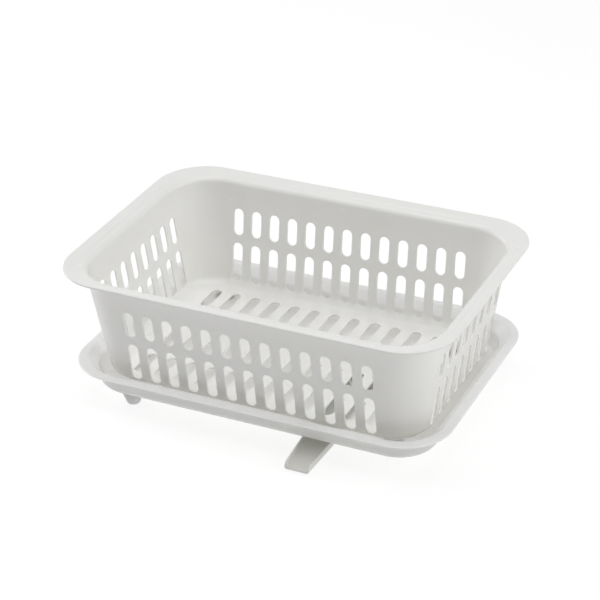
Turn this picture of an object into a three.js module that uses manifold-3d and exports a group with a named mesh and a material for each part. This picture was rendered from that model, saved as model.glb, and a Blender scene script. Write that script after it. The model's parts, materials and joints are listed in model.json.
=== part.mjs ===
// A slotted curd-draining mold: a flared basket stands in a drip tray on four push-on feet,
// and a trough under the tray's drain hole swings to lead the whey away.
// Units are millimetres. X runs along the long side, -Y is the front and +Z is up.
// The origin is the middle of the basket's inside floor, where the load sits.

import * as THREE from "three";
import { mergeVertices } from "three/addons/utils/BufferGeometryUtils.js";
import Module from "manifold-3d";

const wasm = await Module();
wasm.setup();

// ---- Driving dimensions ----

const WALL = 2; // thickness of every moulded wall
const GAP = 0.3; // clearance between neighbouring pieces
const THROUGH = 10; // how far a cutter runs past the face it cuts

// Slots: one pitch on the walls, a wider one on the floor, one width everywhere
const SLOT_PITCH = 20;
const SLOT_WIDTH = 10.4;
const LONG_WALL_SLOTS = 13;
const SHORT_WALL_SLOTS = 8;
const UPPER_SLOT = { bottom: 54, top: 82 };
const LOWER_SLOT = { bottom: 5, top: 45.4 };
const FLOOR_SLOT_PITCH = 22;
const FLOOR_SLOTS = 13;
const FLOOR_ROWS = 4;
const FLOOR_ROW_PITCH = 46;
const FLOOR_SLOT_LENGTH = 35;

// Basket: outer edge of the rim, and the section measured inwards from that edge
const BASKET = {
  halfLength: 195.8,
  halfWidth: 137.2,
  cornerRadius: 51,
  radiusLoss: 0.45, // corner radius lost per millimetre of inset
  rimHeight: 114.5,
  creaseInset: 9.4, // a small step halfway across the rim
  creaseDrop: 1.75,
  creaseStep: 0.6,
  shoulderInset: 18.35, // where the rim would meet the inside of the wall if it were sharp
  shoulderDrop: 4.2,
  shoulderRound: 6,
  taper: 0.138, // wall lean, run over rise
  floorRound: 9,
  floorInset: 50,
};

// Rails under the basket floor that stand on the tray
const RAIL = { x: 146, y: 55, width: 6, length: 40 };

// Tray: outer edge of the rim, and the section measured inwards from that edge
const TRAY = {
  halfLength: 190,
  halfWidth: 131.4,
  cornerRadius: 48,
  radiusLoss: 0.65,
  rimHeight: 14,
  edgeDrop: 0.6, // the rim falls this far from its crest to its outer edge
  crestInset: 8.5,
  crestRound: 3,
  wallTopInset: 17, // where the rim's inner slope would meet the inside of the wall
  wallTop: 6,
  wallRound: 5,
  wallFootInset: 20.5,
  floor: -11.5, // inside face of the tray floor
  floorRound: 5,
  floorInset: 30,
};

// Drain hole in the tray floor, with a shallow sump round it
const DRAIN = { x: 64.5, radius: 12, sumpRadius: 26, sumpDepth: 0.8 };

// Feet, pressed over bosses under the tray. The right pair stands nearer the middle.
const GROUND = -28;
const FOOT = { topRadius: 10.5, bottomRadius: 6.2, edge: 1.6, collar: 2 };
const BOSS = { radius: 6, length: 6 };
const FEET = [
  { name: "foot_front_left", x: -131, y: -98 },
  { name: "foot_back_left", x: -131, y: 98 },
  { name: "foot_front_right", x: 131, y: -80 },
  { name: "foot_back_right", x: 131, y: 80 },
];

// Spout: a cup under the drain hole that narrows to an open trough
const SPOUT = {
  top: -14.5, // top of the trough at the pivot
  reach: 148, // pivot to tip
  cupRadius: 20.8,
  tipHalfWidth: 12,
  depth: 7,
  bottomBevel: 2.4,
  fall: THREE.MathUtils.degToRad(1.5),
  tipRound: 4.5, // rounding of the side walls at the tip
};

// Snap fingers of the spout, which hook over the edge of the drain hole
const FINGER = {
  count: 4,
  arc: THREE.MathUtils.degToRad(48),
  radius: 11.4,
  thickness: 1.6,
  hook: 1.5,
  hookHeight: 1.4,
};

const CORNER_SEGMENTS = 5;
const FILLET_SEGMENTS = 3;
const SLOT_END_SEGMENTS = 3;
const ROUND_SEGMENTS = 20;
const CUP_SEGMENTS = 14;
const SMALL_ARC_SEGMENTS = 4;

// ---- Solids ----

// A closed three.js geometry as a manifold solid
function solid(geometry) {
  const bare = geometry.clone();
  bare.deleteAttribute("normal");
  bare.deleteAttribute("uv");
  const merged = mergeVertices(bare, 1e-4);
  return new wasm.Manifold(
    new wasm.Mesh({
      numProp: 3,
      vertProperties: merged.attributes.position.array,
      triVerts: new Uint32Array(merged.index.array),
    }),
  );
}

// A manifold solid as a three.js geometry
function geometryOf(body) {
  const mesh = body.getMesh();
  const geometry = new THREE.BufferGeometry();
  geometry.setAttribute("position", new THREE.BufferAttribute(mesh.vertProperties, 3));
  geometry.setIndex(new THREE.BufferAttribute(mesh.triVerts, 1));
  geometry.computeVertexNormals();
  return geometry;
}

function named(name, body, material) {
  const mesh = new THREE.Mesh(geometryOf(body), material);
  mesh.name = name;
  return mesh;
}

function plastic(color, roughness) {
  return new THREE.MeshStandardMaterial({ color, roughness, metalness: 0 });
}

// Points of an arc about (cx, cy), both ends included
function arc(cx, cy, radius, from, to, segments) {
  const points = [];
  for (let i = 0; i <= segments; i++) {
    const angle = from + ((to - from) * i) / segments;
    points.push(new THREE.Vector2(cx + radius * Math.cos(angle), cy + radius * Math.sin(angle)));
  }
  return points;
}

// Rounded rectangle with the same number of points whatever its size
function roundedRectangle(halfLength, halfWidth, radius) {
  const x = halfLength - radius;
  const y = halfWidth - radius;
  const quarter = Math.PI / 2;
  const centres = [
    [x, y],
    [-x, y],
    [-x, -y],
    [x, -y],
  ];
  return centres.flatMap(([cx, cy], i) =>
    arc(cx, cy, radius, i * quarter, (i + 1) * quarter, CORNER_SEGMENTS),
  );
}

// A path of corners [inset, height, radius], each corner with a radius turned into an arc
function filleted(corners) {
  return corners.flatMap(([x, y, radius], i) => {
    const corner = new THREE.Vector2(x, y);
    if (!radius) return [corner];
    const back = new THREE.Vector2(...corners[i - 1].slice(0, 2)).sub(corner).normalize();
    const ahead = new THREE.Vector2(...corners[i + 1].slice(0, 2)).sub(corner).normalize();
    const half = Math.acos(back.dot(ahead)) / 2;
    const middle = back.clone().add(ahead).normalize();
    const centre = corner.clone().addScaledVector(middle, radius / Math.sin(half));
    const first = corner.clone().addScaledVector(back, radius / Math.tan(half)).sub(centre).angle();
    const last = corner.clone().addScaledVector(ahead, radius / Math.tan(half)).sub(centre).angle();
    const turn = THREE.MathUtils.euclideanModulo(last - first + Math.PI, 2 * Math.PI) - Math.PI;
    return arc(centre.x, centre.y, radius, first, first + turn, FILLET_SEGMENTS);
  });
}

// A shell of rounded rectangles: one ring for each point (inset, height) of its section.
// The first ring is closed by a cap that faces up and the last by one that faces down.
function ringShell(size, section) {
  const rings = section.map((point) =>
    roundedRectangle(
      size.halfLength - point.x,
      size.halfWidth - point.x,
      size.cornerRadius - size.radiusLoss * point.x,
    ).map((p) => new THREE.Vector3(p.x, p.y, point.y)),
  );
  const count = rings[0].length;
  const positions = rings.flat().flatMap((p) => p.toArray());
  const index = [];
  for (let r = 0; r + 1 < rings.length; r++) {
    for (let i = 0; i < count; i++) {
      const a = r * count + i;
      const b = r * count + ((i + 1) % count);
      index.push(a, a + count, b, b, a + count, b + count);
    }
  }
  const last = (rings.length - 1) * count;
  for (let i = 1; i + 1 < count; i++) {
    index.push(0, i, i + 1);
    index.push(last, last + i + 1, last + i);
  }
  const geometry = new THREE.BufferGeometry();
  geometry.setAttribute("position", new THREE.Float32BufferAttribute(positions, 3));
  geometry.setIndex(index);
  return solid(geometry);
}

function extruded(shape, depth, options = {}) {
  const settings = { depth, bevelEnabled: false, ...options };
  return new THREE.ExtrudeGeometry(shape, settings);
}

// Straight slot outline in its own plane, from one rounded end to the other along its y
function slotShape(width, bottom, top) {
  const r = width / 2;
  return new THREE.Shape([
    ...arc(0, top - r, r, 0, Math.PI, SLOT_END_SEGMENTS),
    ...arc(0, bottom + r, r, Math.PI, 2 * Math.PI, SLOT_END_SEGMENTS),
  ]);
}

function cylinder(radius, bottom, top, x, y) {
  const geometry = new THREE.CylinderGeometry(radius, radius, top - bottom, ROUND_SEGMENTS);
  geometry.rotateX(Math.PI / 2);
  geometry.translate(x, y, (top + bottom) / 2);
  return solid(geometry);
}

// Places of a row of count things, centred on zero
function row(count, pitch) {
  return Array.from({ length: count }, (_, i) => (i - (count - 1) / 2) * pitch);
}

// ---- Basket ----

// Up the inside from the floor to the rim's edge, then back down the outside
function basketSection() {
  const b = BASKET;
  const rim = b.rimHeight;
  const shoulder = rim - b.shoulderDrop;
  const slope = b.shoulderDrop / b.shoulderInset;
  const underShoulder = [b.shoulderInset - WALL * (1 - b.taper), shoulder - WALL * (1 - slope)];
  const wallInset = (height) => b.shoulderInset + (shoulder - height) * b.taper;
  const crease = [b.creaseInset, rim - b.creaseDrop];
  const step = [b.creaseInset + b.creaseStep, rim - b.creaseDrop - b.creaseStep];
  return filleted([
    [b.floorInset, 0],
    [wallInset(0), 0, b.floorRound],
    [b.shoulderInset, shoulder, b.shoulderRound],
    step,
    crease,
    [0, rim],
    [0, rim - WALL],
    [crease[0], crease[1] - WALL],
    [step[0], step[1] - WALL],
    [...underShoulder, b.shoulderRound - WALL],
    [wallInset(-WALL) - WALL, -WALL, b.floorRound + WALL],
    [b.floorInset, -WALL],
  ]);
}

// Prisms through both long walls, running along Y
function longWallCutters() {
  const reach = 2 * (BASKET.halfWidth + THROUGH);
  return [UPPER_SLOT, LOWER_SLOT].flatMap((slot) =>
    row(LONG_WALL_SLOTS, SLOT_PITCH).map((x) => {
      const geometry = extruded(slotShape(SLOT_WIDTH, slot.bottom, slot.top), reach);
      geometry.rotateX(Math.PI / 2);
      geometry.translate(x, reach / 2, 0);
      return solid(geometry);
    }),
  );
}

// Prisms through both short walls, running along X
function shortWallCutters() {
  const reach = 2 * (BASKET.halfLength + THROUGH);
  return [UPPER_SLOT, LOWER_SLOT].flatMap((slot) =>
    row(SHORT_WALL_SLOTS, SLOT_PITCH).map((y) => {
      const geometry = extruded(slotShape(SLOT_WIDTH, slot.bottom, slot.top), reach);
      geometry.rotateX(Math.PI / 2);
      geometry.rotateZ(Math.PI / 2);
      geometry.translate(-reach / 2, y, 0);
      return solid(geometry);
    }),
  );
}

function floorCutters() {
  const reach = WALL + 2 * THROUGH;
  const half = FLOOR_SLOT_LENGTH / 2;
  return row(FLOOR_ROWS, FLOOR_ROW_PITCH).flatMap((y) =>
    row(FLOOR_SLOTS, FLOOR_SLOT_PITCH).map((x) => {
      const geometry = extruded(slotShape(SLOT_WIDTH, y - half, y + half), reach);
      geometry.translate(x, 0, -WALL - THROUGH);
      return solid(geometry);
    }),
  );
}

// Rails stand a clearance above the tray floor and run into the basket floor
function basketRails() {
  const bottom = TRAY.floor + GAP;
  const top = -WALL / 2;
  return [-1, 1].flatMap((side) =>
    [-1, 1].map((end) => {
      const geometry = new THREE.BoxGeometry(RAIL.width, RAIL.length, top - bottom);
      geometry.translate(side * RAIL.x, end * RAIL.y, (top + bottom) / 2);
      return solid(geometry);
    }),
  );
}

function basket() {
  let body = ringShell(BASKET, basketSection());
  for (const cutter of [...longWallCutters(), ...shortWallCutters(), ...floorCutters()]) {
    body = body.subtract(cutter);
  }
  for (const rail of basketRails()) {
    body = body.add(rail);
  }
  return body;
}

// ---- Tray ----

// Up the inside from the floor to the rim's edge, then back under the rim
function traySection() {
  const t = TRAY;
  const rim = t.rimHeight;
  return filleted([
    [t.floorInset, t.floor],
    [t.wallFootInset, t.floor, t.floorRound],
    [t.wallTopInset, t.wallTop, t.wallRound],
    [t.crestInset, rim, t.crestRound],
    [0, rim - t.edgeDrop],
    [0, rim - t.edgeDrop - WALL],
    [t.crestInset - WALL / 2, rim - WALL, WALL / 2],
    [t.wallTopInset - WALL, t.wallTop - WALL / 2, t.wallRound + WALL],
    [t.wallFootInset - WALL, t.floor - WALL, t.floorRound + WALL],
    [t.floorInset, t.floor - WALL],
  ]);
}

function tray() {
  const underside = TRAY.floor - WALL;
  let body = ringShell(TRAY, traySection());
  for (const foot of FEET) {
    const boss = cylinder(BOSS.radius, underside - BOSS.length, underside + WALL / 2, foot.x, foot.y);
    body = body.add(boss);
  }
  const above = TRAY.floor + THROUGH;
  const sump = cylinder(DRAIN.sumpRadius, TRAY.floor - DRAIN.sumpDepth, above, DRAIN.x, 0);
  const hole = cylinder(DRAIN.radius, underside - THROUGH, above, DRAIN.x, 0);
  return body.subtract(sump).subtract(hole);
}

// ---- Feet ----

// Tapered cap with a socket for the boss, about its own axis
function foot() {
  const top = TRAY.floor - WALL - GAP;
  const socketRadius = BOSS.radius + GAP;
  const socketTop = top - BOSS.length;
  const profile = [
    new THREE.Vector2(0, GROUND),
    new THREE.Vector2(FOOT.bottomRadius - FOOT.edge, GROUND),
    new THREE.Vector2(FOOT.bottomRadius, GROUND + FOOT.edge),
    new THREE.Vector2(FOOT.topRadius, top - FOOT.collar),
    new THREE.Vector2(FOOT.topRadius, top),
    new THREE.Vector2(socketRadius, top),
    new THREE.Vector2(socketRadius, socketTop),
    new THREE.Vector2(0, socketTop),
  ];
  const geometry = new THREE.LatheGeometry(profile, ROUND_SEGMENTS);
  geometry.rotateX(Math.PI / 2);
  return solid(geometry);
}

// ---- Spout ----

// Plan of the trough seen from above: a round cup whose sides run straight to an end
// at distance reach along -Y
function spoutPlan(cupRadius, tipHalfWidth, reach) {
  const lean = Math.asin((cupRadius - tipHalfWidth) / reach);
  return new THREE.Shape([
    new THREE.Vector2(-tipHalfWidth, -reach),
    new THREE.Vector2(tipHalfWidth, -reach),
    ...arc(0, 0, cupRadius, -lean, Math.PI + lean, CUP_SEGMENTS),
  ]);
}

// A plan raised into a block with a rounded bottom edge, its underside at the given height
function roundedBlock(plan, bottom) {
  const bevel = SPOUT.bottomBevel;
  const geometry = extruded(plan, SPOUT.depth + bevel, {
    bevelEnabled: true,
    bevelThickness: bevel,
    bevelSize: bevel,
    bevelOffset: -bevel,
    bevelSegments: 2,
  });
  geometry.translate(0, 0, bottom + bevel);
  return geometry;
}

// The space the trough may fill, as a side view (distance from the pivot, height) run
// along X. It gives the flat top, the square end and the rounded top corners at the tip.
function spoutEnvelope() {
  const s = SPOUT;
  const r = s.tipRound;
  const width = 4 * s.cupRadius;
  const side = new THREE.Shape([
    new THREE.Vector2(-2 * s.cupRadius, 0),
    new THREE.Vector2(-2 * s.cupRadius, -2 * s.depth),
    new THREE.Vector2(s.reach, -2 * s.depth),
    ...arc(s.reach - r, -r, r, 0, Math.PI / 2, SMALL_ARC_SEGMENTS),
  ]);
  const geometry = extruded(side, width);
  geometry.rotateX(Math.PI / 2);
  geometry.rotateZ(-Math.PI / 2);
  geometry.translate(width / 2, 0, 0);
  return geometry;
}

// Cup and trough, hanging from the pivot with the tip lower by the fall
function trough() {
  const s = SPOUT;
  const outer = roundedBlock(spoutPlan(s.cupRadius, s.tipHalfWidth, s.reach + THROUGH), -s.depth);
  const cavityPlan = spoutPlan(s.cupRadius - WALL, s.tipHalfWidth - WALL, s.reach + 2 * THROUGH);
  const cavity = roundedBlock(cavityPlan, WALL - s.depth);
  const [block, hollow, envelope] = [outer, cavity, spoutEnvelope()].map((geometry) =>
    solid(geometry.rotateX(s.fall)),
  );
  return block.subtract(hollow).intersect(envelope);
}

// Part of a ring about the pivot, standing between two heights
function ringSector(inner, outer, middle, bottom, top) {
  const from = middle - FINGER.arc / 2;
  const to = middle + FINGER.arc / 2;
  const shape = new THREE.Shape([
    ...arc(0, 0, outer, from, to, SMALL_ARC_SEGMENTS),
    ...arc(0, 0, inner, to, from, SMALL_ARC_SEGMENTS),
  ]);
  const geometry = extruded(shape, top - bottom);
  geometry.translate(0, 0, bottom);
  return solid(geometry);
}

// Fingers rise from the cup floor through the drain hole and hook over its edge
function spout() {
  const f = FINGER;
  const foot = WALL / 2 - SPOUT.depth; // sunk into the cup floor
  const hookBottom = TRAY.floor - DRAIN.sumpDepth + GAP - SPOUT.top;
  const hookTop = hookBottom + f.hookHeight;
  const inner = f.radius - f.thickness;
  let body = trough();
  for (let i = 0; i < f.count; i++) {
    const middle = ((i + 0.5) * 2 * Math.PI) / f.count;
    body = body.add(ringSector(inner, f.radius, middle, foot, hookTop));
    body = body.add(ringSector(inner, f.radius + f.hook, middle, hookBottom, hookTop));
  }
  return body;
}

// ---- Assembly ----

const whitePlastic = plastic(0xecebe6, 0.42);
const greyRubber = plastic(0xdcdcda, 0.6);

const root = new THREE.Group();
root.name = "curd_mold";
root.add(named("basket", basket(), whitePlastic));
root.add(named("drip_tray", tray(), whitePlastic));
const spoutMesh = named("drain_spout", spout(), whitePlastic);
spoutMesh.position.set(DRAIN.x, 0, SPOUT.top);
root.add(spoutMesh);
for (const place of FEET) {
  const mesh = named(place.name, foot(), greyRubber);
  mesh.position.set(place.x, place.y, 0);
  root.add(mesh);
}

export default root;
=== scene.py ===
"""The slotted draining basket, its drip tray, spout and feet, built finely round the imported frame.

Meshes are worked out in millimetres and scaled to metres when they are made. Materials, stage,
lights and camera are in metres. X runs along the long side, -Y is the front, +Z is up and the
basket's inside floor is at height zero.
"""

import json
import math

import bmesh
import bpy
from mathutils import Matrix, Vector
from mathutils.geometry import delaunay_2d_cdt


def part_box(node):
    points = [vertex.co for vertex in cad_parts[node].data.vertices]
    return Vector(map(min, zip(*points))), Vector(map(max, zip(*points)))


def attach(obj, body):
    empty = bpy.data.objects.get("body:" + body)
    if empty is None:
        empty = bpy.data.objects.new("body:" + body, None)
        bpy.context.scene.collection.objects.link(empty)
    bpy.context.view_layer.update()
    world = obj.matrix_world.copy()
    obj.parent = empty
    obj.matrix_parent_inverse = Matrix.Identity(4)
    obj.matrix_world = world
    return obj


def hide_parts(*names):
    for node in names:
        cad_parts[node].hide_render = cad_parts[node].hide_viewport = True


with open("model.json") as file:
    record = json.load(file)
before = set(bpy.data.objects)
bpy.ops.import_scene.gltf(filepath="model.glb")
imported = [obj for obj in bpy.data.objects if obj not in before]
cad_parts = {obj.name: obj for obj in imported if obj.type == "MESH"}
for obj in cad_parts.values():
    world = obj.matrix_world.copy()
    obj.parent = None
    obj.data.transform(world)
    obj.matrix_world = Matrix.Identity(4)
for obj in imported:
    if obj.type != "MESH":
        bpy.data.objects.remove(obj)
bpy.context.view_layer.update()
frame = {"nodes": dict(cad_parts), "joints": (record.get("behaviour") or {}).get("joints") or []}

MM = 0.001
QUARTER = math.pi / 2
TINY = 1e-7
WELD_DISTANCE = 1e-6  # metres

# Steps that curves are cut into
FILLET_STEPS = 8
SMALL_FILLET_STEPS = 6
FINGER_FILLET_STEPS = 3
FINGER_STEPS = 12
CIRCLE_STEPS = 64
SMALL_CIRCLE_STEPS = 40
SLOT_EDGE_STEPS = 3
SLOT_END_STEPS = 14
CREASE_STEPS = 5
TROUGH_END_STEPS = 8
TROUGH_STEPS = 16

# ---- Dimensions read from the frame ----


def box_mm(node):
    low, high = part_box(node)
    return low / MM, high / MM


BASKET_LOW, BASKET_HIGH = box_mm("basket")
TRAY_HIGH = box_mm("drip_tray")[1]
SPOUT_LOW, SPOUT_HIGH = box_mm("drain_spout")
FEET = [name for name in frame["nodes"] if name.startswith("foot_")]
FOOT_LOW, FOOT_HIGH = box_mm(FEET[0])
PIVOT = Vector(next(j for j in frame["joints"] if j["name"] == "spout_swing")["pos_m"]) / MM

# ---- Dimensions that the frame can't say ----

WALL = 2.0
GAP = 0.3  # clearance between neighbouring pieces

SLOT_PITCH = 20.0
SLOT_RADIUS = 5.2
SLOT_EDGE = 0.5  # rounding of the slots' edges
SLOT_SUPPORT = 0.9  # a loop this far outside the rounding keeps the wall flat beside it
LONG_WALL_SLOTS = 13
SHORT_WALL_SLOTS = 8
UPPER_SLOT = (54.0, 82.0)  # heights of the slots' ends
LOWER_SLOT = (5.0, 45.4)
CELL_BOTTOM = 1.4  # lowest height of the wall's grid that the slots are set in
CELL_TOP = 86.4
ROW_CLEARANCE = 0.1  # points of a wall's path that are nearer than this to the grid are left out
FLOOR_SLOT_PITCH = 22.0
FLOOR_SLOTS = 13
FLOOR_ROW_PITCH = 46.0
FLOOR_ROWS = 4
FLOOR_SLOT_LENGTH = 35.0

# Basket section, with insets and drops measured from the rim's outer edge
BASKET_CORNER = 51.0
BASKET_RADIUS_LOSS = 0.45  # corner radius lost per millimetre of inset
SHOULDER_INSET = 18.35
SHOULDER_DROP = 4.2
SHOULDER_ROUND = 6.0
TAPER = 0.138
FLOOR_ROUND = 9.0
RIM_EDGE = 0.9
CREASE_INSET = 9.4  # the rim's outer half stands a little proud of its inner half
CREASE_WIDTH = 1.8
CREASE_RISE = 0.45
FLANGE_INSETS = (14.0, 7.0, 4.5, 2.5)  # extra points along the sloping rim

RAIL_X = 146.0
RAIL_Y = 55.0
RAIL_WIDTH = 6.0
RAIL_LENGTH = 40.0
RAIL_EDGE = 0.8
RAIL_ROOT_ROUND = 1.2

# Tray section, with insets measured from the rim's outer edge
TRAY_CORNER = 48.0
TRAY_RADIUS_LOSS = 0.65
EDGE_DROP = 0.6
CREST_INSET = 8.5
CREST_ROUND = 3.0
TRAY_WALL_INSET = 17.0
TRAY_WALL_TOP = 6.0
TRAY_WALL_ROUND = 5.0
TRAY_FOOT_INSET = 20.5
TRAY_FLOOR = FOOT_HIGH.z + GAP + WALL
TRAY_FLOOR_ROUND = 5.0

DRAIN_RADIUS = 12.0
SUMP_RADIUS = 26.0
SUMP_DEPTH = 0.8
SMALL_EDGE = 0.4

BOSS_RADIUS = 6.0
BOSS_LENGTH = 6.0
FOOT_BOTTOM_RADIUS = 6.2
FOOT_BOTTOM_ROUND = 1.8
FOOT_COLLAR = 2.0
FOOT_COLLAR_ROUND = 2.5

SPOUT_DEPTH = 7.0
SPOUT_TIP_HALF_WIDTH = 12.0
SPOUT_ROUND = 2.2
SPOUT_TIP_ROUND = 4.5
SPOUT_EDGE = 0.7
SPOUT_FALL = math.radians(1.5)
FINGERS = 4
FINGER_ARC = math.radians(48)
FINGER_RADIUS = 11.4
FINGER_THICKNESS = 1.6
FINGER_HOOK = 1.5
FINGER_HOOK_HEIGHT = 1.4
FINGER_ROUND = 0.3
HOOK_ROUND = 0.2
SHARP_ANGLE = math.radians(50)  # edges of the spout that are sharper than this are rounded

# ---- Mesh building ----


class Skin:
    """Points and faces of one closed piece, joined by index."""

    def __init__(self):
        self.points = []
        self.faces = []

    def loop(self, points):
        first = len(self.points)
        self.points.extend(Vector(p) for p in points)
        return list(range(first, len(self.points)))

    def bridge(self, one, other):
        for i in range(len(one)):
            j = (i + 1) % len(one)
            self.faces.append((one[i], one[j], other[j], other[i]))

    def chain(self, loops):
        for one, other in zip(loops, loops[1:]):
            self.bridge(one, other)

    def strip(self, one, other):
        """Joins two rows of points that aren't closed."""
        for a, b in zip(zip(one, one[1:]), zip(other, other[1:])):
            self.faces.append((a[0], a[1], b[1], b[0]))

    def fan(self, loop, point):
        pole = self.loop([point])[0]
        for i in range(len(loop)):
            self.faces.append((loop[i], loop[(i + 1) % len(loop)], pole))

    def fill(self, outer, holes=()):
        """Triangles over a level area inside the outer loop and outside the holes."""
        loops = [outer, *holes]
        index = [i for loop in loops for i in loop]
        flat = [self.points[i].xy for i in index]
        areas = []
        start = 0
        for loop in loops:
            area = list(range(start, start + len(loop)))
            areas.append(area if signed_area([flat[i] for i in area]) > 0 else area[::-1])
            start += len(loop)
        _, _, faces, origins, _, inside = delaunay_2d_cdt(flat, [], areas, 1, TINY)
        for face, areas_over in zip(faces, inside):
            if areas_over == [0]:
                self.faces.append(tuple(index[origins[i][0]] for i in face))

    def mesh(self, name):
        mesh = bpy.data.meshes.new(name)
        mesh.from_pydata([p * MM for p in self.points], [], self.faces)
        work = bmesh.new()
        work.from_mesh(mesh)
        unused = [point for point in work.verts if not point.link_faces]
        bmesh.ops.delete(work, geom=unused, context="VERTS")
        bmesh.ops.recalc_face_normals(work, faces=work.faces)
        work.to_mesh(mesh)
        work.free()
        mesh.shade_smooth()
        return mesh


def signed_area(points):
    following = points[1:] + points[:1]
    return sum(p.x * q.y - q.x * p.y for p, q in zip(points, following)) / 2


def even(start, end, steps):
    return [start + (end - start) * k / steps for k in range(steps + 1)]


def smooth(share):
    t = min(1.0, max(0.0, share))
    return t * t * (3 - 2 * t)


def circle(radius, x, y, z, steps=CIRCLE_STEPS):
    turn = 2 * math.pi / steps
    return [(x + radius * math.cos(k * turn), y + radius * math.sin(k * turn), z) for k in range(steps)]


def filleted(corners, steps):
    """A path through corners (across, height, radius), each corner with a radius made an arc."""
    path = []
    for i, (across, height, radius) in enumerate(corners):
        here = Vector((across, height))
        if not radius:
            path.append(here)
            continue
        back = (Vector(corners[i - 1][:2]) - here).normalized()
        ahead = (Vector(corners[i + 1][:2]) - here).normalized()
        half = back.angle(ahead) / 2
        centre = here + (back + ahead).normalized() * radius / math.sin(half)
        reach = radius / math.tan(half)
        first = (here + back * reach - centre).normalized()
        last = (here + ahead * reach - centre).normalized()
        path += [centre + first.slerp(last, k / steps).normalized() * radius for k in range(steps + 1)]
    return path


def make_piece(name, skin, material, body, node):
    """One object of the skin's mesh that rides on a body and stands for its CAD node."""
    piece = bpy.data.objects.new(name, skin.mesh(name))
    bpy.context.scene.collection.objects.link(piece)
    piece.data.materials.append(material)
    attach(piece, body)
    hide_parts(node)
    return piece


def keep_flats_flat(piece):
    """Normals follow the larger faces, so that flat walls shade flat beside their rounded edges."""
    weighted = piece.modifiers.new("flat_faces", "WEIGHTED_NORMAL")
    weighted.mode = "FACE_AREA"
    weighted.keep_sharp = True


# ---- Rounded rectangles ----


class Outline:
    """Rounded rectangles that share their stations, so that rings of any size join point by point.

    Side k faces +X, +Y, -X, -Y in turn. Stations along a side are fixed places, as far as its end
    in both directions, and each corner between two sides is cut into even steps.
    """

    CORNER_STEPS = 24

    def __init__(self, short_end, short_steps, long_end, long_steps):
        self.ends = (short_end, long_end)
        self.stations = (even(-short_end, short_end, short_steps), even(-long_end, long_end, long_steps))

    def first(self, side):
        """Index in a ring of the first station of a side."""
        return sum(len(self.stations[k % 2]) + self.CORNER_STEPS - 1 for k in range(side))

    @staticmethod
    def place(side, along, out, height):
        c, s = ((1, 0), (0, 1), (-1, 0), (0, -1))[side]
        return Vector((c * out - s * along, s * out + c * along, height))

    @staticmethod
    def reach(side, along, size):
        """Distance from the middle out to the ring, at a place along a side."""
        half_length, half_width, radius = size
        out, end = (half_length, half_width) if side % 2 == 0 else (half_width, half_length)
        beyond = max(0.0, abs(along) - (end - radius))
        return out - radius + math.sqrt(max(0.0, radius**2 - beyond**2))

    def corner(self, side, size):
        """(along, out) from a side's last station round to the next side's first."""
        half_length, half_width, radius = size
        out, end = (half_length, half_width) if side % 2 == 0 else (half_width, half_length)
        here, there = self.ends[side % 2], self.ends[(side + 1) % 2]
        start = math.asin(max(0.0, here - (end - radius)) / radius)
        stop = math.acos(max(0.0, there - (out - radius)) / radius)
        before = max(0.0, end - radius - here)
        after = max(0.0, out - radius - there)
        arc = radius * (stop - start)
        points = []
        for way in even(0, before + arc + after, self.CORNER_STEPS)[1:-1]:
            if way < before:
                points.append((here + way, out))
            elif way < before + arc:
                angle = start + (way - before) / radius
                turned = end - radius + radius * math.sin(angle)
                points.append((turned, out - radius + radius * math.cos(angle)))
            else:
                points.append((end, out - radius - (way - before - arc)))
        return points

    def ring(self, size, height):
        """height is a number, or a function of how far round a corner a point is (0 to 1)."""
        level = height if callable(height) else lambda share: height
        points = []
        for side in range(4):
            for along in self.stations[side % 2]:
                points.append(self.place(side, along, self.reach(side, along, size), level(0)))
            for k, (along, out) in enumerate(self.corner(side, size)):
                points.append(self.place(side, along, out, level((k + 1) / self.CORNER_STEPS)))
        return points


# ---- Basket ----

CELL_COLUMNS = 8
CELL_END_ROWS = 6
CELL_SIDE_ROWS = 3
BASKET_OUTLINE = Outline(
    SHORT_WALL_SLOTS * SLOT_PITCH / 2,
    SHORT_WALL_SLOTS * CELL_COLUMNS,
    LONG_WALL_SLOTS * SLOT_PITCH / 2,
    LONG_WALL_SLOTS * CELL_COLUMNS,
)


def basket_size(inset):
    return (
        BASKET_HIGH.x - inset,
        BASKET_HIGH.y - inset,
        BASKET_CORNER - BASKET_RADIUS_LOSS * inset,
    )


def cell_heights(bottom, top, slot):
    """Heights of the grid's rows over a cell, close together beside the slot's round ends."""
    low, high = slot[0] + SLOT_RADIUS, slot[1] - SLOT_RADIUS
    return (
        even(bottom, low, CELL_END_ROWS)
        + even(low, high, CELL_SIDE_ROWS)[1:]
        + even(high, top, CELL_END_ROWS)[1:]
    )


CELL_MIDDLE = (LOWER_SLOT[1] + UPPER_SLOT[0]) / 2
LOWER_ROWS = cell_heights(CELL_BOTTOM, CELL_MIDDLE, LOWER_SLOT)
UPPER_ROWS = cell_heights(CELL_MIDDLE, CELL_TOP, UPPER_SLOT)
WALL_ROWS = LOWER_ROWS + UPPER_ROWS[1:]


def inset_at(path, height):
    """Inset of a rising path at a height."""
    for one, other in zip(path, path[1:]):
        if one.y <= height <= other.y and other.y > one.y:
            return one.x + (other.x - one.x) * (height - one.y) / (other.y - one.y)
    return path[-1].x


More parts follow.
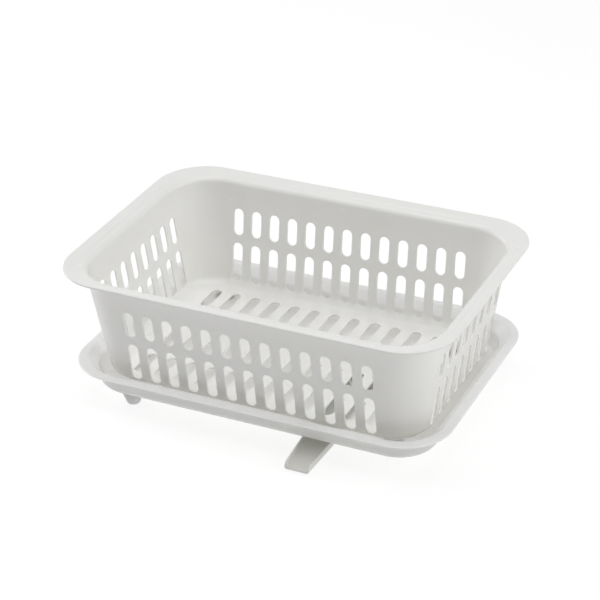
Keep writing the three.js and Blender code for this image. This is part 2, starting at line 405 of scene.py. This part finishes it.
def basket_paths():
    """Rising paths (inset, height) of the basket's inner and outer faces, floor to rim edge."""
    rim = BASKET_HIGH.z
    shoulder = rim - SHOULDER_DROP
    slope = SHOULDER_DROP / SHOULDER_INSET

    def wall_inset(height):
        return SHOULDER_INSET + (shoulder - height) * TAPER

    floor_start = 2 * SHOULDER_INSET + 2 * FLOOR_ROUND
    inner = filleted(
        [
            (floor_start, 0, 0),
            (wall_inset(0), 0, FLOOR_ROUND),
            (SHOULDER_INSET, shoulder, SHOULDER_ROUND),
            (0, rim, RIM_EDGE),
            (0, rim - WALL / 2, 0),
        ],
        FILLET_STEPS,
    )[1:]
    outer = filleted(
        [
            (floor_start, -WALL, 0),
            (wall_inset(-WALL) - WALL, -WALL, FLOOR_ROUND + WALL),
            (SHOULDER_INSET - WALL * (1 - TAPER), shoulder - WALL * (1 - slope), SHOULDER_ROUND - WALL),
            (0, rim - WALL, RIM_EDGE),
            (0, rim - WALL / 2, 0),
        ],
        FILLET_STEPS,
    )[1:-1]
    return inner, outer


def with_flange_stations(path):
    """Adds points along the sloping flange, close together at the crease."""
    insets = [CREASE_INSET + 1.5 * CREASE_WIDTH, CREASE_INSET + CREASE_WIDTH, CREASE_INSET - 0.8]
    insets += even(CREASE_INSET + 0.8 * CREASE_WIDTH, CREASE_INSET - 0.2, CREASE_STEPS)
    insets += FLANGE_INSETS
    insets.sort(reverse=True)
    finer = [path[0]]
    for one, other in zip(path, path[1:]):
        for inset in insets:
            if one.x > inset > other.x and one.y > CELL_TOP:
                share = (one.x - inset) / (one.x - other.x)
                finer.append(one.lerp(other, share))
        finer.append(other)
    return finer


def basket_rows(path):
    """The path's own points below and above the wall's grid, and the grid's rows between them."""
    middle = [Vector((inset_at(path, height), height)) for height in WALL_ROWS]
    below = [p for p in path if p.y < WALL_ROWS[0] - ROW_CLEARANCE]
    above = [p for p in path if p.y > WALL_ROWS[-1] + ROW_CLEARANCE]
    return below + middle + with_flange_stations([middle[-1], *above])[1:], len(below)


def crease_rise(inset):
    """How far the rim's outer half stands above the straight flange."""
    if inset < CREASE_INSET:
        return CREASE_RISE * smooth(inset / CREASE_INSET)
    return CREASE_RISE * (1 - smooth((inset - CREASE_INSET) / CREASE_WIDTH))


def basket_rings(skin, rows):
    """A ring for each row. The crease dies out round the corners."""
    rings = []
    for row in rows:
        rise = crease_rise(row.x) if row.y > CELL_TOP else 0.0

        def level(share, height=row.y, rise=rise):
            return height + rise * smooth(abs(2 * share - 1) * 2 - 1)

        rings.append(skin.loop(BASKET_OUTLINE.ring(basket_size(row.x), level)))
    return rings


def slot_edges():
    """(growth of the outline, depth under the surface) from the wall's face into the slot."""
    edges = [(SLOT_EDGE + SLOT_SUPPORT, 0.0)]
    for angle in even(0, QUARTER, SLOT_EDGE_STEPS):
        edges.append((SLOT_EDGE * (1 - math.sin(angle)), SLOT_EDGE * (1 - math.cos(angle))))
    return edges


def slot_point(place, slot, radius):
    """Where the outline of a slot at (0, bottom to top) is nearest to a place outside it."""
    low, high = slot[0] + SLOT_RADIUS, slot[1] - SLOT_RADIUS
    spine = Vector((0, min(high, max(low, place.y))))
    return spine + (place - spine).normalized() * radius


def cell_border(columns, rows):
    """(column, row) counter-clockwise round a block of the grid."""
    return (
        [(i, 0) for i in range(columns)]
        + [(columns, j) for j in range(rows)]
        + [(i, rows) for i in range(columns, 0, -1)]
        + [(0, j) for j in range(rows, 0, -1)]
    )


def wall_slots():
    """Each slot of the walls: side, number along it, its row's slot, first row and row count."""
    for side in range(4):
        count = (SHORT_WALL_SLOTS, LONG_WALL_SLOTS)[side % 2]
        for number in range(count):
            yield side, number, LOWER_SLOT, 0, len(LOWER_ROWS) - 1
            yield side, number, UPPER_SLOT, len(LOWER_ROWS) - 1, len(UPPER_ROWS) - 1


def cut_wall_slot(skin, faces, side, number, slot, first_row, row_count):
    """Joins the two faces of the wall through one slot. faces holds (path, rings, wall row 0)."""
    stations = BASKET_OUTLINE.stations[side % 2]
    first_column = number * CELL_COLUMNS
    middle = stations[first_column + CELL_COLUMNS // 2]
    start = BASKET_OUTLINE.first(side)
    border = cell_border(CELL_COLUMNS, row_count)
    places = [
        Vector((stations[first_column + i] - middle, WALL_ROWS[first_row + j])) for i, j in border
    ]
    loops = []
    for (path, rings, wall_row), inwards in zip(faces, (-1, 1)):
        edge = [rings[wall_row + first_row + j][start + first_column + i] for i, j in border]
        half = [edge]
        for growth, depth in slot_edges():
            points = []
            for place in places:
                at = slot_point(place, slot, SLOT_RADIUS + growth)
                size = basket_size(inset_at(path, at.y))
                out = BASKET_OUTLINE.reach(side, middle + at.x, size) + inwards * depth
                points.append(BASKET_OUTLINE.place(side, middle + at.x, out, at.y))
            half.append(skin.loop(points))
        loops.append(half)
    outer, inner = loops
    skin.chain(outer + inner[::-1])


def basket_wall_faces(skin, rings, wall_row):
    """Quads of one face of the wall, leaving out the blocks that hold slots."""
    count = len(rings[0])
    held = set()
    for side, number, _, first_row, row_count in wall_slots():
        column = BASKET_OUTLINE.first(side) + number * CELL_COLUMNS
        for j in range(row_count):
            for i in range(CELL_COLUMNS):
                held.add((wall_row + first_row + j, column + i))
    for j in range(len(rings) - 1):
        for i in range(count):
            if (j, i) not in held:
                k = (i + 1) % count
                skin.faces.append((rings[j][i], rings[j][k], rings[j + 1][k], rings[j + 1][i]))


def stadium(x, y, half_length, radius, z):
    """A slot outline in a level plane, long in y."""
    points = []
    for turn, centre in ((0, half_length - radius), (1, radius - half_length)):
        for angle in even(turn * math.pi, (turn + 1) * math.pi, SLOT_END_STEPS):
            points.append((x + radius * math.cos(angle), y + centre + radius * math.sin(angle), z))
    return points


def spread(count, pitch):
    return [(i - (count - 1) / 2) * pitch for i in range(count)]


def cut_floor_slots(skin):
    """Loops of the floor slots. Returns the loops in the floor's top and in its underside."""
    tops, undersides = [], []
    half = FLOOR_SLOT_LENGTH / 2
    edges = slot_edges()[1:]
    levels = [(growth, -depth) for growth, depth in edges]
    levels += [(growth, depth - WALL) for growth, depth in reversed(edges)]
    for y in spread(FLOOR_ROWS, FLOOR_ROW_PITCH):
        for x in spread(FLOOR_SLOTS, FLOOR_SLOT_PITCH):
            loops = [
                skin.loop(stadium(x, y, half + growth, SLOT_RADIUS + growth, z)) for growth, z in levels
            ]
            skin.chain(loops)
            tops.append(loops[0])
            undersides.append(loops[-1])
    return tops, undersides


def basket_rails(skin):
    """Rails under the floor. Returns the loops where they leave its underside."""
    roots = []
    bottom = BASKET_LOW.z
    root, edge = RAIL_ROOT_ROUND, RAIL_EDGE
    levels = [(root, -WALL), (0.35 * root, -WALL - 0.35 * root), (0, -WALL - root)]
    levels += [(0, bottom + edge), (-0.3 * edge, bottom + 0.3 * edge), (-edge, bottom)]
    for x in (-RAIL_X, RAIL_X):
        for y in (-RAIL_Y, RAIL_Y):
            loops = [
                skin.loop(stadium(x, y, RAIL_LENGTH / 2 + growth, RAIL_WIDTH / 2 + growth, z))
                for growth, z in levels
            ]
            skin.chain(loops)
            skin.fill(loops[-1])
            roots.append(loops[0])
    return roots


def build_basket(material):
    skin = Skin()
    inner_path, outer_path = basket_paths()
    faces = []
    for path in (outer_path, inner_path):
        rows, wall_row = basket_rows(path)
        rings = basket_rings(skin, rows)
        basket_wall_faces(skin, rings, wall_row)
        faces.append((path, rings, wall_row))
    (_, outer, _), (_, inner, _) = faces
    skin.bridge(inner[-1], outer[-1])
    for side, number, slot, first_row, row_count in wall_slots():
        cut_wall_slot(skin, faces, side, number, slot, first_row, row_count)
    tops, undersides = cut_floor_slots(skin)
    skin.fill(inner[0], tops)
    skin.fill(outer[0], undersides + basket_rails(skin))
    piece = make_piece("basket_shell", skin, material, "basket_body", "basket")
    keep_flats_flat(piece)


# ---- Tray ----

TRAY_SHORT_END = 74.0
TRAY_SHORT_STEPS = 16
TRAY_LONG_END = 124.0
TRAY_LONG_STEPS = 26
TRAY_OUTLINE = Outline(TRAY_SHORT_END, TRAY_SHORT_STEPS, TRAY_LONG_END, TRAY_LONG_STEPS)


def tray_path():
    """From the floor up the inside to the rim's edge, and back underneath."""
    rim = TRAY_HIGH.z
    start = TRAY_FOOT_INSET + 2 * TRAY_FLOOR_ROUND
    floor = TRAY_FLOOR
    return filleted(
        [
            (start, floor, 0),
            (TRAY_FOOT_INSET, floor, TRAY_FLOOR_ROUND),
            (TRAY_WALL_INSET, TRAY_WALL_TOP, TRAY_WALL_ROUND),
            (CREST_INSET, rim, CREST_ROUND),
            (0, rim - EDGE_DROP, RIM_EDGE),
            (0, rim - EDGE_DROP - WALL, RIM_EDGE),
            (CREST_INSET - WALL / 2, rim - WALL, CREST_ROUND - WALL / 2),
            (TRAY_WALL_INSET - WALL, TRAY_WALL_TOP - WALL / 2, TRAY_WALL_ROUND + WALL),
            (TRAY_FOOT_INSET - WALL, floor - WALL, TRAY_FLOOR_ROUND + WALL),
            (start, floor - WALL, 0),
        ],
        FILLET_STEPS,
    )[1:-1]


def tray_drain(skin):
    """Sump and drain hole. Returns their loops in the tray's floor and in its underside."""
    sump = TRAY_FLOOR - SUMP_DEPTH
    underside = TRAY_FLOOR - WALL
    e = SMALL_EDGE
    levels = [
        (SUMP_RADIUS + e, TRAY_FLOOR),
        (SUMP_RADIUS + e / 4, TRAY_FLOOR - e / 4),
        (SUMP_RADIUS - e / 2, sump + e / 4),
        (SUMP_RADIUS - 2 * e, sump),
        (DRAIN_RADIUS + e, sump),
        (DRAIN_RADIUS + e / 4, sump - e / 4),
        (DRAIN_RADIUS, sump - e),
        (DRAIN_RADIUS, underside + e),
        (DRAIN_RADIUS + e / 4, underside + e / 4),
        (DRAIN_RADIUS + e, underside),
    ]
    loops = [skin.loop(circle(radius, PIVOT.x, PIVOT.y, z)) for radius, z in levels]
    skin.chain(loops)
    return loops[0], loops[-1]


def foot_centre(name):
    low, high = box_mm(name)
    return (low.x + high.x) / 2, (low.y + high.y) / 2


def tray_boss(skin, name):
    """Boss that a foot is pressed onto. Returns its loop in the tray's underside."""
    x, y = foot_centre(name)
    underside = TRAY_FLOOR - WALL
    end = underside - BOSS_LENGTH
    e = SMALL_EDGE
    levels = [
        (BOSS_RADIUS + GAP / 2, underside),
        (BOSS_RADIUS, underside - GAP / 2),
        (BOSS_RADIUS, end + e),
        (BOSS_RADIUS - e / 4, end + e / 4),
        (BOSS_RADIUS - e, end),
    ]
    loops = [skin.loop(circle(radius, x, y, z, SMALL_CIRCLE_STEPS)) for radius, z in levels]
    skin.chain(loops)
    skin.fill(loops[-1])
    return loops[0]


def build_tray(material):
    skin = Skin()
    rings = []
    for point in tray_path():
        size = (
            TRAY_HIGH.x - point.x,
            TRAY_HIGH.y - point.x,
            TRAY_CORNER - TRAY_RADIUS_LOSS * point.x,
        )
        rings.append(skin.loop(TRAY_OUTLINE.ring(size, point.y)))
    skin.chain(rings)
    sump, hole = tray_drain(skin)
    skin.fill(rings[0], [sump])
    skin.fill(rings[-1], [hole] + [tray_boss(skin, name) for name in FEET])
    piece = make_piece("tray_shell", skin, material, "tray_body", "drip_tray")
    keep_flats_flat(piece)


# ---- Feet ----


def build_foot(name, material):
    skin = Skin()
    x, y = foot_centre(name)
    radius = (FOOT_HIGH.x - FOOT_LOW.x) / 2
    top, ground = FOOT_HIGH.z, FOOT_LOW.z
    socket_radius = BOSS_RADIUS + GAP
    socket_top = top - BOSS_LENGTH
    path = filleted(
        [
            (0, ground, 0),
            (FOOT_BOTTOM_RADIUS, ground, FOOT_BOTTOM_ROUND),
            (radius, top - FOOT_COLLAR, FOOT_COLLAR_ROUND),
            (radius, top, SMALL_EDGE),
            (socket_radius, top, SMALL_EDGE),
            (socket_radius, socket_top, SMALL_EDGE),
            (0, socket_top, 0),
        ],
        SMALL_FILLET_STEPS,
    )
    loops = [skin.loop(circle(p.x, x, y, p.y)) for p in path[1:-1]]
    skin.chain(loops)
    skin.fan(loops[0], (x, y, ground))
    skin.fan(loops[-1], (x, y, socket_top))
    piece = make_piece(name + "_cap", skin, material, "tray_body", name)
    keep_flats_flat(piece)


# ---- Spout ----


def spout_stations(cup_radius, reach):
    """(outer point, point on the middle line, distance to the tip) round the trough's plan."""
    lean = math.asin((cup_radius - SPOUT_TIP_HALF_WIDTH) / reach)
    tangent = Vector((math.cos(lean), -math.sin(lean))) * cup_radius
    tip = Vector((SPOUT_TIP_HALF_WIDTH, -reach))
    ways = [SPOUT_TIP_ROUND * (1 - math.cos(a)) for a in even(0, QUARTER, TROUGH_END_STEPS)]
    ways += even(SPOUT_TIP_ROUND, reach + tangent.y, TROUGH_STEPS)[1:]
    right = []
    for way in ways:
        outer = tip.lerp(tangent, way / (reach + tangent.y))
        right.append((outer, Vector((0, outer.y)), way))
    cup = []
    for angle in even(-lean, math.pi + lean, SMALL_CIRCLE_STEPS)[1:-1]:
        outer = Vector((math.cos(angle), math.sin(angle))) * cup_radius
        cup.append((outer, Vector((0, min(0.0, outer.y))), reach))
    left = [(Vector((-o.x, o.y)), m, way) for o, m, way in reversed(right)]
    return right + cup + left


def spout_profile():
    """(inset, height) of the outer chain up the wall, and of the inner chain back down."""
    floor = WALL - SPOUT_DEPTH
    outer = filleted(
        [
            (2 * SPOUT_ROUND, -SPOUT_DEPTH, 0),
            (0, -SPOUT_DEPTH, SPOUT_ROUND),
            (0, 0, SPOUT_EDGE),
            (WALL / 2, 0, 0),
        ],
        SMALL_FILLET_STEPS,
    )
    inner = filleted(
        [
            (WALL + 2 * SPOUT_ROUND, floor, 0),
            (WALL, floor, SPOUT_ROUND),
            (WALL, 0, SPOUT_EDGE),
            (WALL / 2, 0, 0),
        ],
        SMALL_FILLET_STEPS,
    )
    return outer, inner


def spout_level(height, way):
    """A profile height at a distance from the tip, where the walls round down to the floor."""
    floor = WALL - SPOUT_DEPTH
    if way >= SPOUT_TIP_ROUND or height <= floor:
        return height
    top = math.sqrt(SPOUT_TIP_ROUND**2 - (SPOUT_TIP_ROUND - way) ** 2) - SPOUT_TIP_ROUND
    return floor + (height - floor) * (top - floor) / -floor


def trough(skin, cup_radius, reach):
    """The trough, open at the tip: strips along its plan, and a ladder of faces over the end."""
    stations = spout_stations(cup_radius, reach)
    outer_profile, inner_profile = spout_profile()
    rows = []
    for outer, middle, way in stations:
        inwards = (middle - outer).normalized()
        row = []
        for chain in (outer_profile, inner_profile):
            points = [(*middle, spout_level(chain[0].y, way))]
            for inset, height in chain:
                points.append((*(outer + inwards * inset), spout_level(height, way)))
            row.append(skin.loop(points))
        rows.append(row)
    for (below, above), (next_below, next_above) in zip(rows, rows[1:]):
        skin.strip(below, next_below)
        skin.strip(above, next_above)
    for below, above in (rows[0], rows[-1]):
        skin.strip(below, above)


def finger(skin, middle):
    """One snap finger: a hooked profile turned through an arc about the pivot."""
    hook_bottom = TRAY_FLOOR - SUMP_DEPTH + GAP - PIVOT.z
    hook_top = hook_bottom + FINGER_HOOK_HEIGHT
    hook_radius = FINGER_RADIUS + FINGER_HOOK
    root = WALL / 2 - SPOUT_DEPTH
    inner = FINGER_RADIUS - FINGER_THICKNESS
    profile = filleted(
        [
            (inner, root, 0),
            (FINGER_RADIUS, root, 0),
            (FINGER_RADIUS, hook_bottom, 0),
            (hook_radius, hook_bottom, HOOK_ROUND),
            (hook_radius, hook_bottom + FINGER_HOOK_HEIGHT / 3, FINGER_ROUND),
            (FINGER_RADIUS + FINGER_HOOK / 3, hook_top, FINGER_ROUND),
            (inner, hook_top, FINGER_ROUND),
            (inner, 0, 0),
        ],
        FINGER_FILLET_STEPS,
    )
    loops = []
    for angle in even(middle - FINGER_ARC / 2, middle + FINGER_ARC / 2, FINGER_STEPS):
        loops.append(skin.loop([(p.x * math.cos(angle), p.x * math.sin(angle), p.y) for p in profile]))
    skin.chain(loops)
    skin.faces.append(tuple(loops[0]))
    skin.faces.append(tuple(loops[-1]))


def build_spout(material):
    cup_radius = (SPOUT_HIGH.x - SPOUT_LOW.x) / 2
    reach = (PIVOT.y - SPOUT_LOW.y) / math.cos(SPOUT_FALL)
    body = Skin()
    trough(body, cup_radius, reach)
    turn = Matrix.Rotation(SPOUT_FALL, 3, "X")
    body.points = [turn @ p + PIVOT for p in body.points]
    piece = make_piece("spout_trough", body, material, "spout_body", "drain_spout")
    weld(piece)
    fingers = Skin()
    for k in range(FINGERS):
        finger(fingers, (k + 0.5) * 2 * math.pi / FINGERS)
    fingers.points = [p + PIVOT for p in fingers.points]
    join(piece, fingers)
    rounding = piece.modifiers.new("edges", "BEVEL")
    rounding.width = SMALL_EDGE * MM / 2
    rounding.segments = 2
    rounding.limit_method = "ANGLE"
    rounding.angle_limit = SHARP_ANGLE
    keep_flats_flat(piece)


def weld(piece):
    """Joins the points that meet on the trough's middle line."""
    work = bmesh.new()
    work.from_mesh(piece.data)
    bmesh.ops.remove_doubles(work, verts=work.verts, dist=WELD_DISTANCE)
    bmesh.ops.dissolve_degenerate(work, edges=work.edges, dist=WELD_DISTANCE)
    bmesh.ops.recalc_face_normals(work, faces=work.faces)
    work.to_mesh(piece.data)
    work.free()


def join(piece, skin):
    """Unites a piece with another closed skin."""
    other = bpy.data.objects.new("operand", skin.mesh("operand"))
    bpy.context.scene.collection.objects.link(other)
    union = piece.modifiers.new("union", "BOOLEAN")
    union.operation = "UNION"
    union.object = other
    union.solver = "EXACT"
    graph = bpy.context.evaluated_depsgraph_get()
    united = bpy.data.meshes.new_from_object(piece.evaluated_get(graph))
    piece.modifiers.remove(union)
    piece.data = united
    united.shade_smooth()
    bpy.data.objects.remove(other)


# ---- Materials ----

GLOW_TINT = (1.0, 0.97, 0.92)  # how far each colour travels under the plastic's surface, as shares
PLASTIC_IOR = 1.49
RUBBER_GLOW_DEPTH = 0.01
DUST = (0.86, 0.86, 0.85, 1.0)
WHITE = (1.0, 1.0, 1.0, 1.0)
CLOUDED = (0.98, 0.98, 0.97)  # how much darker the cloudy parts of the plastic are
EDGE_HIGHLIGHT_GAIN = 1.03  # how much paler the convex edges are painted, as a painted highlight
PALEST = 0.97
RUBBER_SHADE = 0.9


class Shader:
    """A material's node tree, with short calls for the nodes that the recipes below use."""

    def __init__(self, name):
        self.material = bpy.data.materials.new(name)
        self.material.use_nodes = True
        self.tree = self.material.node_tree
        self.principled = self.tree.nodes["Principled BSDF"]
        self.place = self.node("ShaderNodeTexCoord").outputs["Object"]

    def node(self, kind, inputs=None, **settings):
        node = self.tree.nodes.new(kind)
        for name, value in settings.items():
            setattr(node, name, value)
        for key, value in (inputs or {}).items():
            self.set(node.inputs[key], value)
        return node

    def set(self, socket, value):
        if isinstance(value, bpy.types.NodeSocket):
            self.tree.links.new(value, socket)
        else:
            socket.default_value = value

    def noise(self, scale, detail=3.0, stretch=(1, 1, 1)):
        """Noise from 0 to 1 with features about 1/scale metres across."""
        mapped = self.node("ShaderNodeMapping", {"Vector": self.place, "Scale": stretch})
        inputs = {"Vector": mapped.outputs[0], "Scale": scale, "Detail": detail}
        return self.node("ShaderNodeTexNoise", inputs).outputs["Fac"]

    def spread(self, value, low, high, new_low=0.0, new_high=1.0):
        inputs = {0: value, 1: low, 2: high, 3: new_low, 4: new_high}
        return self.node("ShaderNodeMapRange", inputs).outputs[0]

    def maths(self, operation, one, other):
        return self.node("ShaderNodeMath", {0: one, 1: other}, operation=operation).outputs[0]

    def blend(self, share, one, other):
        mix = self.node("ShaderNodeMix", data_type="RGBA")
        self.set(mix.inputs[0], share)
        self.set(mix.inputs[6], one)
        self.set(mix.inputs[7], other)
        return mix.outputs[2]

    def bump(self, height, distance, strength=1.0, over=None):
        inputs = {"Height": height, "Distance": distance, "Strength": strength}
        if over is not None:
            inputs["Normal"] = over
        return self.node("ShaderNodeBump", inputs).outputs[0]


def moulded_plastic(name, colour, roughness, waxiness, glow_depth):
    """Satin polypropylene: cloudy, waxy under the surface, with flow lines and scuffs, and its convex
    edges painted paler as a painted highlight.

    waxiness is the share of light that goes under the surface, and glow_depth how many metres it goes.
    """
    s = Shader(name)
    clouds = s.noise(9.0, 4.0)
    flow = s.noise(22.0, 2.0, (1.0, 1.0, 0.25))
    grain = s.noise(2600.0, 2.0)
    ripple = s.noise(45.0, 1.0)
    scuffs = s.spread(s.noise(260.0, 6.0, (0.25, 1.0, 1.0)), 0.62, 0.75)
    shade = [c * share for c, share in zip(colour, CLOUDED)] + [1.0]
    base = s.blend(s.spread(clouds, 0.35, 0.7), (*colour, 1.0), shade)
    base = s.blend(s.spread(flow, 0.55, 0.8, 0.0, 0.35), base, shade)
    # Painted highlight: convex edges are made paler in the base colour, as if they caught the light.
    pointed = s.node("ShaderNodeNewGeometry").outputs["Pointiness"]
    edges = s.spread(pointed, 0.52, 0.62)
    edge_highlight_colour = [min(PALEST, c * EDGE_HIGHLIGHT_GAIN) for c in colour] + [1.0]
    base = s.blend(s.maths("MULTIPLY", edges, 0.5), base, edge_highlight_colour)
    rough = s.spread(ripple, 0.3, 0.7, roughness - 0.015, roughness + 0.02)
    rough = s.maths("ADD", rough, s.maths("MULTIPLY", scuffs, 0.06))
    relief = s.bump(grain, 0.00002, 0.5)
    relief = s.bump(flow, 0.0004, 0.07, relief)
    relief = s.bump(ripple, 0.0003, 0.04, relief)
    p = s.principled
    s.set(p.inputs["Base Color"], base)
    s.set(p.inputs["Roughness"], rough)
    s.set(p.inputs["Normal"], relief)
    s.set(p.inputs["IOR"], PLASTIC_IOR)
    s.set(p.inputs["Subsurface Weight"], waxiness)
    s.set(p.inputs["Subsurface Radius"], GLOW_TINT)
    s.set(p.inputs["Subsurface Scale"], glow_depth)
    return s.material


def dull_rubber(name, colour):
    """Pale elastomer: finely pitted, a little dusty, and translucent like the tray above it."""
    s = Shader(name)
    clouds = s.noise(60.0, 4.0)
    pits = s.noise(1400.0, 3.0)
    dust = s.spread(s.noise(320.0, 5.0), 0.5, 0.7)
    dark = [c * RUBBER_SHADE for c in colour] + [1.0]
    base = s.blend(s.spread(clouds, 0.3, 0.7), (*colour, 1.0), dark)
    base = s.blend(s.maths("MULTIPLY", dust, 0.3), base, DUST)
    p = s.principled
    s.set(p.inputs["Base Color"], base)
    s.set(p.inputs["Roughness"], s.spread(dust, 0.0, 1.0, 0.55, 0.7))
    s.set(p.inputs["Normal"], s.bump(pits, 0.00006, 0.5))
    s.set(p.inputs["Subsurface Weight"], 1.0)
    s.set(p.inputs["Subsurface Radius"], (1.0, 1.0, 1.0))
    s.set(p.inputs["Subsurface Scale"], RUBBER_GLOW_DEPTH)
    return s.material


# ---- Stage, light and camera ----

FLOOR_HALF_WIDTH = 8.0  # metres
FLOOR_TONES = ((0.32, 0.32, 0.32, 1.0), (0.28, 0.28, 0.28, 1.0))
FLOOR_GLOW = 0.55
FLOOR_GLOW_SEEN = 0.78  # as the camera sees it, so that it comes out as white as the backdrop


def build_floor():
    """A floor at the feet that glows like a light table, and is clear when it is seen from below."""
    s = Shader("studio_floor")
    s.set(s.principled.inputs["Base Color"], s.blend(s.noise(2.0, 2.0), *FLOOR_TONES))
    s.set(s.principled.inputs["Emission Color"], WHITE)
    seen = s.node("ShaderNodeLightPath").outputs["Is Camera Ray"]
    glow = s.spread(seen, 0.0, 1.0, FLOOR_GLOW, FLOOR_GLOW_SEEN)
    s.set(s.principled.inputs["Emission Strength"], glow)
    s.set(s.principled.inputs["Roughness"], 0.9)
    s.set(s.principled.inputs["Specular IOR Level"], 0.1)
    clear = s.node("ShaderNodeBsdfTransparent").outputs[0]
    behind = s.node("ShaderNodeNewGeometry").outputs["Backfacing"]
    inputs = {0: behind, 1: s.principled.outputs[0], 2: clear}
    mixed = s.node("ShaderNodeMixShader", inputs).outputs[0]
    s.set(s.tree.nodes["Material Output"].inputs["Surface"], mixed)
    mesh = bpy.data.meshes.new("studio_floor")
    half = FLOOR_HALF_WIDTH
    ground = FOOT_LOW.z * MM
    corners = [(-half, -half, ground), (half, -half, ground), (half, half, ground), (-half, half, ground)]
    mesh.from_pydata(corners, [], [(0, 1, 2, 3)])
    floor = bpy.data.objects.new("studio_floor", mesh)
    bpy.context.scene.collection.objects.link(floor)
    floor.data.materials.append(s.material)


SOFTBOX_SIZE = 1.8  # metres
SOFTBOXES = {
    "overhead": ((0.0, 0.0, 2.2), 20.0),
    "right": ((2.2, 0.0, 1.1), 19.0),
    "left": ((-2.2, 0.0, 1.1), 22.0),
}
LIT_PLACE = Vector((0.0, 0.0, 0.03))
WORLD_STRENGTH = 0.18
WORLD_STRENGTH_SEEN = 1.0  # seen by the camera or in a reflection


def softbox(name, place, watts):
    light = bpy.data.lights.new(name, "AREA")
    light.shape = "SQUARE"
    light.size = SOFTBOX_SIZE
    light.energy = watts
    lamp = bpy.data.objects.new(name, light)
    bpy.context.scene.collection.objects.link(lamp)
    lamp.location = place
    lamp.rotation_mode = "QUATERNION"
    lamp.rotation_quaternion = (LIT_PLACE - lamp.location).to_track_quat("-Z", "Y")


def build_light():
    """A dim world that looks white to the camera and in reflections, and three large softboxes."""
    world = bpy.data.worlds.new("studio")
    bpy.context.scene.world = world
    world.use_nodes = True
    tree = world.node_tree
    sky = tree.nodes["Background"]
    sky.inputs["Color"].default_value = WHITE
    path = tree.nodes.new("ShaderNodeLightPath")
    seen = tree.nodes.new("ShaderNodeMath")
    seen.operation = "MAXIMUM"
    tree.links.new(path.outputs["Is Camera Ray"], seen.inputs[0])
    tree.links.new(path.outputs["Is Glossy Ray"], seen.inputs[1])
    strength = tree.nodes.new("ShaderNodeMapRange")
    strength.inputs["To Min"].default_value = WORLD_STRENGTH
    strength.inputs["To Max"].default_value = WORLD_STRENGTH_SEEN
    tree.links.new(seen.outputs[0], strength.inputs["Value"])
    tree.links.new(strength.outputs[0], sky.inputs["Strength"])
    for name, (place, watts) in SOFTBOXES.items():
        softbox(name, place, watts)
    bpy.context.scene.view_settings.view_transform = "Standard"
    bpy.context.scene.cycles.diffuse_bounces = 12
    bpy.context.scene.cycles.max_bounces = 16


def build_camera():
    """A long lens a little under two metres away, to the right of the front and above."""
    azimuth = math.radians(25.64)
    elevation = math.radians(29.78)
    roll = math.radians(-1.32)
    distance = 1.9
    target = Vector((-0.0026, 0.0023, 0.0402))
    back = Vector(
        (
            math.sin(azimuth) * math.cos(elevation),
            -math.cos(azimuth) * math.cos(elevation),
            math.sin(elevation),
        )
    )
    data = bpy.data.cameras.new("camera")
    data.sensor_width = 36.0
    data.lens = 118.99
    data.shift_x = 0.0036
    data.shift_y = 0.0301
    camera = bpy.data.objects.new("camera", data)
    bpy.context.scene.collection.objects.link(camera)
    level = (-back).to_track_quat("-Z", "Y").to_matrix()
    turned = level @ Matrix.Rotation(roll, 3, "Z")
    camera.matrix_world = Matrix.Translation(target + back * distance) @ turned.to_4x4()
    bpy.context.scene.camera = camera


# ---- Assembly ----

basket_plastic = moulded_plastic(
    "satin_basket", (0.945, 0.94, 0.92), roughness=0.23, waxiness=0.25, glow_depth=0.004
)
tray_plastic = moulded_plastic(
    "satin_tray", (0.95, 0.945, 0.925), roughness=0.23, waxiness=1.0, glow_depth=0.018
)
spout_plastic = moulded_plastic(
    "satin_spout", (0.80, 0.795, 0.765), roughness=0.34, waxiness=0.25, glow_depth=0.004
)
foot_rubber = dull_rubber("dull_foot", (0.76, 0.76, 0.76))

build_basket(basket_plastic)
build_tray(tray_plastic)
build_spout(spout_plastic)
for foot_name in FEET:
    build_foot(foot_name, foot_rubber)

build_floor()
build_light()
build_camera()

bpy.context.view_layer.update()
